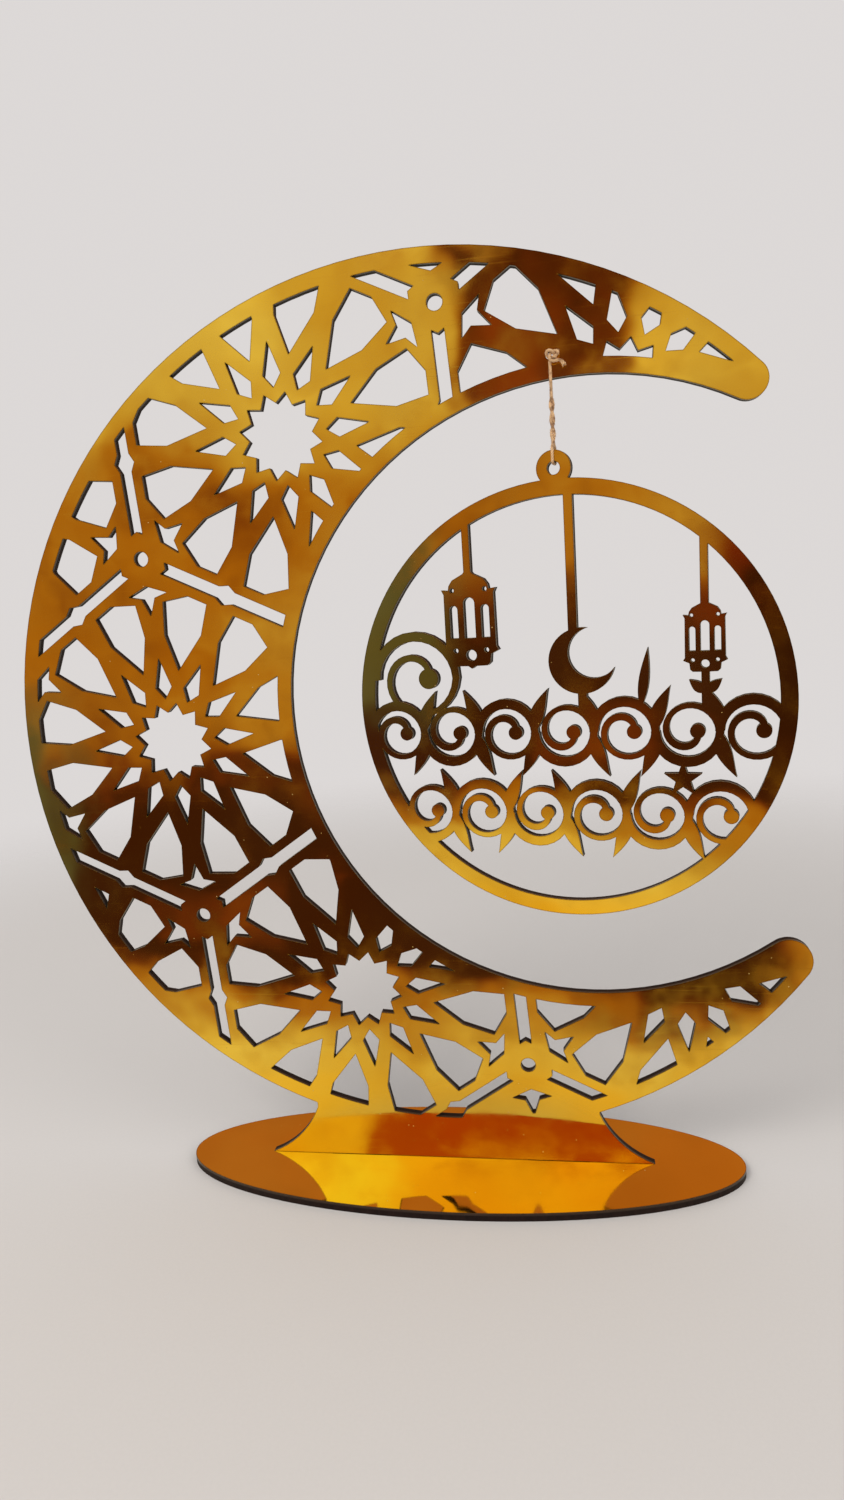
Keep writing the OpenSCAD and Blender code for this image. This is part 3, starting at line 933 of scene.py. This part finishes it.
def loop_route():
    """From the knot down the front, wound down, through the eyelet, wound up and up the back."""
    down = front_route() + pair_route(-90)
    up = pair_route(90)[::-1] + back_route()[::-1]
    return down + bight_route()[::-1] + up


def hung_point(z):
    """A point of the thread's middle line, z millimetres above the middle of its hole."""
    return HANG + Vector((0, 0, z * MM))


def smooth_line(route, step):
    """Points every step along a smooth curve through the route, in metres."""
    points = [HANG + Vector(p) * MM for p in route]
    fine = []
    for k in range(len(points) - 1):
        before, after = points[max(k - 1, 0)], points[min(k + 2, len(points) - 1)]
        here, there = points[k], points[k + 1]
        if (there - here).length < SAME_PLACE:
            continue
        for s in range(FINE_STEPS):
            t = s / FINE_STEPS
            fine.append(
                0.5
                * (
                    2 * here
                    + (there - before) * t
                    + (2 * before - 5 * here + 4 * there - after) * t**2
                    + (3 * here - before - 3 * there + after) * t**3
                )
            )
    fine.append(points[-1])
    line, walked = [fine[0]], 0.0
    for a, b in zip(fine, fine[1:]):
        walked += (b - a).length
        if walked >= step:
            line.append(b)
            walked = 0.0
    if (line[-1] - fine[-1]).length > step / 2:
        line.append(fine[-1])
    return line


def carried_frames(line):
    """Two directions across the line at each point, turned as little as possible."""
    last = len(line) - 1
    ahead = [(line[min(k + 1, last)] - line[max(k - 1, 0)]).normalized() for k in range(last + 1)]
    side = ahead[0].orthogonal().normalized()
    frames = []
    for t in ahead:
        side = (side - t * side.dot(t)).normalized()
        frames.append((side, t.cross(side)))
    return frames


class Strand:
    """A run of thread: its middle line and the plies that are twisted along it."""

    def __init__(self, route, settings, loose_end=False):
        self.settings = settings
        self.line = smooth_line(route, settings.ply_radius * STEP_SHARE)
        self.frames = carried_frames(self.line)
        self.walked = [0.0]
        for a, b in zip(self.line, self.line[1:]):
            self.walked.append(self.walked[-1] + (b - a).length)
        self.loose_end = loose_end
        self.plies = [self.ply(number) for number in range(settings.plies)]

    def ply(self, number):
        """The centres and radii of one ply; at a loose end the plies part and thin out."""
        settings, length = self.settings, self.walked[-1]
        offset = settings.radius - settings.ply_radius
        centres, radii = [], []
        for point, (u, v), walked in zip(self.line, self.frames, self.walked):
            a = 2 * math.pi * (walked / settings.lay_length + number / settings.plies)
            spread = 1.0
            if self.loose_end:
                left = (length - walked) / (FRAY_LENGTH * settings.radius)
                spread += FRAY_SPREAD * max(0.0, 1 - left)
            centres.append(point + (u * math.cos(a) + v * math.sin(a)) * offset * spread)
            swell = 1 + PLY_SWELL * math.sin(walked / PLY_SWELL_LENGTH + number)
            radii.append(settings.ply_radius * swell)
        if self.loose_end:
            radii[-2] *= FRAY_ENDS[0]
            radii[-1] *= FRAY_ENDS[1]
        return centres, radii

    def below(self, z):
        """The first and the last point of the line that lie below a height."""
        low = [k for k, point in enumerate(self.line) if point.z < z]
        return low[0], low[-1]


class YarnMesh:
    """Collects plies and fibres, with how far along, round and deep each point lies; the depth sets
    the painted shade between the plies.
    """

    def __init__(self, settings, chance):
        self.settings, self.chance = settings, chance
        self.points, self.faces = [], []
        self.facts = {fact: [] for fact in YARN_FACTS}

    def tube(self, centres, radii, sides, middle=None, first=0, last=None):
        """A closed tube round the centres from first to last. middle is the thread's own line."""
        last = len(centres) - 1 if last is None else last
        start, distance = len(self.points), 0.0
        frames = carried_frames(centres)
        for k, (centre, radius) in enumerate(zip(centres, radii)):
            if k:
                distance += (centre - centres[k - 1]).length
            if not first <= k <= last:
                continue
            u, v = frames[k]
            inward = (middle[k] - centre).normalized() if middle else None
            for s in range(sides):
                a = 2 * math.pi * s / sides
                out = u * math.cos(a) + v * math.sin(a)
                self.points.append(centre + out * radius)
                self.facts["along"].append(distance)
                self.facts["around"].append(s / sides)
                # How far the point faces the thread's middle, which sets the painted shade between
                # the plies
                self.facts["ply_shade"].append(max(0.0, out.dot(inward)) if inward else 0.0)
        for k in range(last - first):
            for s in range(sides):
                a, b = start + k * sides + s, start + k * sides + (s + 1) % sides
                self.faces.append((a, b, b + sides, a + sides))
        end = start + (last - first) * sides
        self.faces.append(tuple(range(start + sides - 1, start - 1, -1)))
        self.faces.append(tuple(range(end, end + sides)))

    def stretch(self, strand, first=0, last=None):
        """One stretch of a strand: its plies and its loose fibres."""
        last = len(strand.line) - 1 if last is None else last
        for centres, radii in strand.plies:
            self.tube(centres, radii, PLY_SIDES, strand.line, first, last)
        length = strand.walked[last] - strand.walked[first]
        for _ in range(round(self.settings.fibres * length * CM_PER_M)):
            self.fibre(strand, self.chance.randrange(first + 1, last))

    def fibre(self, strand, k):
        """A loose fibre that leaves the thread and curls back towards it."""
        chance, thick = self.chance, self.settings.radius
        u, v = strand.frames[k]
        a = chance.uniform(0, 2 * math.pi)
        out = u * math.cos(a) + v * math.sin(a)
        run = (strand.line[k + 1] - strand.line[k - 1]).normalized() * chance.choice((-1, 1))
        side = out.cross(run)
        reach = chance.uniform(*FIBRE_REACH) * thick
        length = chance.uniform(*FIBRE_RUN) * thick
        bend = chance.uniform(*FIBRE_BEND) * thick
        base = strand.line[k] + out * thick * FIBRE_ROOT
        centres = [
            base + out * reach * math.sin(FIBRE_CURL * t) + run * length * t + side * bend * t * t
            for t in FIBRE_TAPER
        ]
        radii = [FIBRE_RADIUS * share for share in FIBRE_TAPER.values()]
        self.tube(centres, radii, FIBRE_SIDES)

    def make(self, name, material):
        """The finished piece."""
        mesh = bpy.data.meshes.new(name)
        mesh.from_pydata(self.points, [], self.faces)
        for fact, values in self.facts.items():
            attribute = mesh.attributes.new(fact, "FLOAT", "POINT")
            attribute.data.foreach_set("value", values)
        mesh.polygons.foreach_set("use_smooth", [len(p.vertices) == 4 for p in mesh.polygons])
        mesh.materials.append(material)
        mesh.validate()
        piece = bpy.data.objects.new(name, mesh)
        bpy.context.scene.collection.objects.link(piece)
        return piece


# The room that the mirrors show. A direction is given as its slopes to the right and upwards,
# softened by ROOM_DEPTH so that the slopes stay small at the sides.
ROOM_DEPTH = 0.12
ROOM_FRONT_STEP = (-0.2, 0.1)

# How light the room is, how much its noises change that, how far they bend the outlines of
# its places and of its coloured ones, and each noise's scale, detail and roughness
ROOM_TONE = 0.80
ROOM_UNEVEN = 0.62
ROOM_FINE = 0.35
ROOM_TINT_UNEVEN = 0.8
ROOM_WARP = 0.10
ROOM_TINT_WARP = 0.05
UNEVEN_NOISE = (5.5, 3.0, 0.55)
FINE_NOISE = (38.0, 2.0, 0.6)
LIFT_NOISE = (9.0, 2.0, 0.5)
NOISE_MIDDLE = 0.5

# Each place: whether it lies in front, its centre and half size as slopes, how softly it
# ends, and how much lighter or darker it is
ROOM_PLACES = {
    "warm_wall": (True, (-0.25, 0.0), (0.60, 0.10), 0.10, -0.30),
    "low_dark_band": (True, (-0.43, -0.245), (0.58, 0.092), 0.045, -0.57),
    "low_shade": (True, (-0.34, -0.290), (0.66, 0.090), 0.05, -0.34),
    "horn_shade": (True, (0.100, -0.366), (0.035, 0.018), 0.035, -0.42),
    "warm_gap": (True, (-0.37, -0.290), (0.06, 0.015), 0.04, 0.24),
    "dark_shape": (True, (-0.025, 0.262), (0.075, 0.060), 0.025, -0.68),
    "amber_spot": (True, (-0.38, 0.17), (0.03, 0.02), 0.06, -0.25),
    "amber_patch": (True, (-0.30, 0.08), (0.03, 0.02), 0.05, -0.22),
}

# Places with a colour of their own: the same, but with the colour at the end
ROOM_TINTS = {
    "olive_corner": (True, (-0.61, -0.17), (0.06, 0.08), 0.05, (0.110, 0.130, 0.26)),
    "red_shape": (True, (-0.055, 0.227), (0.01, 0.02), 0.055, (0.24, 0.06, 0.03)),
    "red_curtain": (True, (-0.150, -0.08), (0.055, 0.07), 0.045, (0.16, 0.026, 0.014)),
    "dark_curtain": (True, (-0.140, -0.19), (0.050, 0.06), 0.040, (0.035, 0.012, 0.012)),
    "near_cloth": (True, (-0.10, -0.60), (0.50, 0.100), 0.06, (0.84, 0.66, 0.22)),
    "warm_ceiling": (False, (0.0, 0.60), (1.40, 0.30), 0.20, (0.45, 0.195, 0.08)),
    "bright_wall": (True, (-0.34, 0.48), (0.12, 0.080), 0.03, (0.90, 0.93, 0.55)),
    "red_wood": (True, (0.0, 0.46), (0.215, 0.100), 0.02, (0.44, 0.125, 0.05)),
    "bright_ceiling": (True, (-0.10, 0.70), (0.45, 0.115), 0.01, (1.00, 1.00, 0.45)),
    "window": (True, (-0.36, 0.645), (0.13, 0.030), 0.035, (1.05, 1.42, 1.25)),
}

# The room's colours from dark to light
ROOM_STOPS = [
    (0.0, (0.050, 0.018, 0.022)),
    (0.22, (0.17, 0.046, 0.035)),
    (0.48, (0.43, 0.22, 0.065)),
    (0.72, (0.64, 0.55, 0.40)),
    (1.0, (0.95, 0.98, 0.95)),
]


# Floor, lamps and camera

FLOOR_SIDES = 96
FLOOR_TOOTH = 900.0
FLOOR_TONE = 0.96
KEY_PLACE = (-0.75, -1.05, 1.25)
FILL_PLACE = (1.15, -0.75, 0.75)
LAMP_COLOUR = (1.0, 0.97, 0.92)
EVEN_COLOUR = (1.0, 0.985, 0.96)
SENSOR_WIDTH = 36
CLIP_START = 10 * MM


# Operators


class ORNAMENT_OT_camera(Operator):
    """Put the camera where the photograph was taken"""

    bl_idname = "ornament.camera"
    bl_label = "Camera"

    def execute(self, context):
        given = context.scene.ornament.camera
        ahead = Vector(
            (
                math.sin(given.heading) * math.cos(given.tilt),
                math.cos(given.heading) * math.cos(given.tilt),
                -math.sin(given.tilt),
            )
        )
        level = Vector((math.cos(given.heading), -math.sin(given.heading), 0))
        up = level.cross(ahead)
        right = level * math.cos(given.roll) + up * math.sin(given.roll)
        rolled_up = up * math.cos(given.roll) - level * math.sin(given.roll)
        data = bpy.data.cameras.new("camera")
        data.lens = given.lens
        data.sensor_width = SENSOR_WIDTH
        data.clip_start = CLIP_START
        camera = bpy.data.objects.new("camera", data)
        camera.matrix_world = Matrix.Translation(Vector(given.place)) @ Matrix(
            (right, rolled_up, -ahead)
        ).transposed().to_4x4()
        context.scene.collection.objects.link(camera)
        context.scene.camera = camera
        return {"FINISHED"}


class ORNAMENT_OT_stage(Operator):
    """Lay a plain pale floor and light it softly"""

    bl_idname = "ornament.stage"
    bl_label = "Floor and light"

    def execute(self, context):
        given = context.scene.ornament.studio
        self.lay_floor(context, given)
        self.light_room(context, given)
        self.hang_lamp(context, "key_lamp", KEY_PLACE, given.lamp_size, given.key_power)
        self.hang_lamp(context, "fill_lamp", FILL_PLACE, given.lamp_size, given.fill_power)
        context.scene.view_settings.view_transform = "Standard"
        return {"FINISHED"}

    def lay_floor(self, context, given):
        """A round floor that fades into the backdrop."""
        radius = given.floor_radius
        turns = [2 * math.pi * k / FLOOR_SIDES for k in range(FLOOR_SIDES)]
        rim = [(radius * math.cos(a), radius * math.sin(a), 0) for a in turns]
        mesh = bpy.data.meshes.new("floor")
        mesh.from_pydata(rim, [], [tuple(range(FLOOR_SIDES))])
        floor = bpy.data.objects.new("floor", mesh)
        context.scene.collection.objects.link(floor)

        material = bpy.data.materials.new("floor_paper")
        material.use_nodes = True
        tree = material.node_tree
        tree.nodes.clear()
        place = put(tree, "ShaderNodeTexCoord").outputs["Object"]
        tooth = noise(tree, place, FLOOR_TOOTH, detail=3.0)
        shaded = toned(given.floor_colour, FLOOR_TONE)
        paper = mix_colour(tree, tooth, shaded, given.floor_colour)
        lit = put(tree, "ShaderNodeBsdfDiffuse", {"Color": paper}).outputs[0]
        clear = put(tree, "ShaderNodeBsdfTransparent").outputs[0]
        reach = vector_maths(tree, "LENGTH", place)["Value"]
        seen = rise(tree, reach, given.floor_clear, given.floor_fade)
        mirrored = rise(tree, reach, given.mirror_clear, given.mirror_fade)
        glossy = put(tree, "ShaderNodeLightPath").outputs["Is Glossy Ray"]
        faded = mix_shader(tree, mix_value(tree, glossy, seen, mirrored), lit, clear)
        put(tree, "ShaderNodeOutputMaterial", {"Surface": faded})
        mesh.materials.append(material)

    def light_room(self, context, given):
        """Even light from all round, a plain backdrop, and a room for the mirrors to show."""
        world = bpy.data.worlds.new("room")
        context.scene.world = world
        world.use_nodes = True
        tree = world.node_tree
        tree.nodes.clear()
        even = self.glow(tree, rgba(EVEN_COLOUR), given.room_light)
        seen = self.glow(tree, rgba(given.backdrop_colour))
        mirrored = self.glow(tree, self.room_colour(tree))
        ray = put(tree, "ShaderNodeLightPath").outputs
        glossy = maths(tree, "MAXIMUM", ray["Is Glossy Ray"], ray["Is Transmission Ray"])
        shown = mix_shader(tree, glossy, even, mirrored)
        final = mix_shader(tree, ray["Is Camera Ray"], shown, seen)
        put(tree, "ShaderNodeOutputWorld", {"Surface": final})

    def glow(self, tree, colour, strength=1.0):
        """The shader of a background."""
        inputs = {"Color": colour, "Strength": strength}
        return put(tree, "ShaderNodeBackground", inputs).outputs[0]

    def room_colour(self, tree):
        """A pale room with soft dark and warm places, as the mirrors reflect it."""
        way = put(tree, "ShaderNodeTexCoord").outputs["Generated"]
        parts = put(tree, "ShaderNodeSeparateXYZ", {0: way}).outputs
        depth = maths(tree, "ADD", maths(tree, "ABSOLUTE", parts["Y"]), ROOM_DEPTH)
        across = maths(tree, "DIVIDE", parts["X"], depth)
        above = maths(tree, "DIVIDE", parts["Z"], depth)
        place = put(tree, "ShaderNodeCombineXYZ", {"X": across, "Y": above, "Z": parts["Y"]})
        uneven, fine, lift = [
            maths(tree, "SUBTRACT", noise(tree, place.outputs[0], *given), NOISE_MIDDLE)
            for given in (UNEVEN_NOISE, FINE_NOISE, LIFT_NOISE)
        ]
        tone = maths(tree, "MULTIPLY_ADD", uneven, ROOM_UNEVEN, ROOM_TONE)
        tone = maths(tree, "MULTIPLY_ADD", fine, ROOM_FINE, tone)
        nearly_straight, bent = [
            (
                maths(tree, "MULTIPLY_ADD", uneven, warp, across),
                maths(tree, "MULTIPLY_ADD", lift, warp, above),
            )
            for warp in (ROOM_TINT_WARP, ROOM_WARP)
        ]
        ahead = fall(tree, parts["Y"], *ROOM_FRONT_STEP)
        behind = rest_of(tree, ahead)
        sides = {True: ahead, False: behind}
        for in_front, *shape, change in ROOM_PLACES.values():
            share = self.room_place(tree, bent, sides[in_front], *shape)
            tone = maths(tree, "MULTIPLY_ADD", share, change, tone)
        colours = put(tree, "ShaderNodeValToRGB", {0: tone})
        stops = colours.color_ramp.elements
        for stop, (position, colour) in zip(stops, (ROOM_STOPS[0], ROOM_STOPS[-1])):
            stop.position, stop.color = position, rgba(colour)
        for position, colour in ROOM_STOPS[1:-1]:
            stops.new(position).color = rgba(colour)
        shown = colours.outputs[0]
        shade = maths(tree, "MULTIPLY_ADD", uneven, ROOM_TINT_UNEVEN, 1.0)
        for in_front, *shape, tint in ROOM_TINTS.values():
            share = self.room_place(tree, nearly_straight, sides[in_front], *shape)
            shown = mix_colour(tree, share, shown, scaled(tree, tint, shade))
        return shown

    def room_place(self, tree, slopes, side, centre, size, soft):
        """How much a direction belongs to a place in the room."""
        share = side
        for slope, middle, half in zip(slopes, centre, size):
            off = maths(tree, "ABSOLUTE", maths(tree, "SUBTRACT", slope, middle))
            share = maths(tree, "MULTIPLY", share, fall(tree, off, half, half + soft))
        return share

    def hang_lamp(self, context, name, place, size, power):
        """A square soft lamp that faces the ornament's middle."""
        data = bpy.data.lights.new(name, "AREA")
        data.size = size
        data.energy = power
        data.color = LAMP_COLOUR
        lamp = bpy.data.objects.new(name, data)
        lamp.visible_glossy = False
        lamp.location = place
        middle = (CAD_BOX[0] + CAD_BOX[1]) / 2
        lamp.rotation_euler = (middle - Vector(place)).to_track_quat("-Z", "Y").to_euler()
        context.scene.collection.objects.link(lamp)


class ORNAMENT_OT_base(Operator):
    """Finish the base's board and mirror"""

    bl_idname = "ornament.base"
    bl_label = "Base"

    def execute(self, context):
        finish_sheets("base", Vector((0, 0, 1)), context.scene.ornament.sheets)
        return {"FINISHED"}


class ORNAMENT_OT_crescent(Operator):
    """Finish the crescent's board and mirror"""

    bl_idname = "ornament.crescent"
    bl_label = "Crescent"

    def execute(self, context):
        settings = context.scene.ornament.sheets
        front = Vector((0, -1, 0))
        finish_sheets("crescent", front, settings, -settings.crescent_bow)
        return {"FINISHED"}


class ORNAMENT_OT_medallion(Operator):
    """Finish the medallion's board and mirror"""

    bl_idname = "ornament.medallion"
    bl_label = "Medallion"

    def execute(self, context):
        settings = context.scene.ornament.sheets
        front = Vector((math.sin(REST_TURN), -math.cos(REST_TURN), 0))
        finish_sheets("medallion", front, settings, settings.medallion_bow)
        return {"FINISHED"}


class ORNAMENT_OT_thread(Operator):
    """Twist the thread from its plies, along its route"""

    bl_idname = "ornament.thread"
    bl_label = "Thread"

    def execute(self, context):
        settings = context.scene.ornament.thread
        self.material = spun_thread(settings)
        chance = random.Random(FIBRE_SEED)
        loop = Strand(loop_route(), settings)
        first, last = loop.below(hung_point(SEAM_Z).z)

        knot = YarnMesh(settings, chance)
        knot.stretch(Strand(knot_route(), settings, loose_end=True))
        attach(self.stand_for(knot, "yarn_knot", "thread_knot"), "stand")

        upper = YarnMesh(settings, chance)
        upper.stretch(loop, last=first)
        upper.stretch(loop, first=last)
        piece = self.stand_for(upper, "yarn_upper", "thread_front", "thread_back", "thread_pair")
        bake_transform(piece)

        lower = YarnMesh(settings, chance)
        lower.stretch(loop, first, last)
        piece = self.stand_for(lower, "yarn_lower", "thread_bight")
        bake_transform(piece)
        return {"FINISHED"}

    def stand_for(self, yarn, name, *nodes):
        """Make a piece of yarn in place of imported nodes."""
        piece = yarn.make(name, self.material)
        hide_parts(*nodes)
        return piece


class ORNAMENT_PT_panel(Panel):
    """Buttons and settings for the ornament"""

    bl_idname = "ORNAMENT_PT_panel"
    bl_label = "Crescent ornament"
    bl_space_type = "VIEW_3D"
    bl_region_type = "UI"
    bl_category = "Ornament"

    def draw(self, context):
        ornament = context.scene.ornament
        for operator in OPERATORS:
            self.layout.operator(operator.bl_idname)
        for part in ("camera", "studio", "sheets", "thread"):
            box = self.layout.box()
            settings = getattr(ornament, part)
            for name in settings.__annotations__:
                box.prop(settings, name)


SETTINGS = (CameraSettings, StudioSettings, SheetSettings, ThreadSettings, OrnamentSettings)
OPERATORS = (
    ORNAMENT_OT_camera,
    ORNAMENT_OT_thread,
    ORNAMENT_OT_stage,
    ORNAMENT_OT_base,
    ORNAMENT_OT_crescent,
    ORNAMENT_OT_medallion,
)


def register():
    for item in (*SETTINGS, *OPERATORS, ORNAMENT_PT_panel):
        bpy.utils.register_class(item)
    bpy.types.Scene.ornament = PointerProperty(type=OrnamentSettings)


def unregister():
    del bpy.types.Scene.ornament
    for item in reversed((*SETTINGS, *OPERATORS, ORNAMENT_PT_panel)):
        bpy.utils.unregister_class(item)


def main():
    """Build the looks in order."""
    register()
    bpy.ops.ornament.camera()
    bpy.ops.ornament.thread()
    bpy.ops.ornament.stage()
    bpy.ops.ornament.base()
    bpy.ops.ornament.crescent()
    bpy.ops.ornament.medallion()


if __name__ == "__main__":
    main()
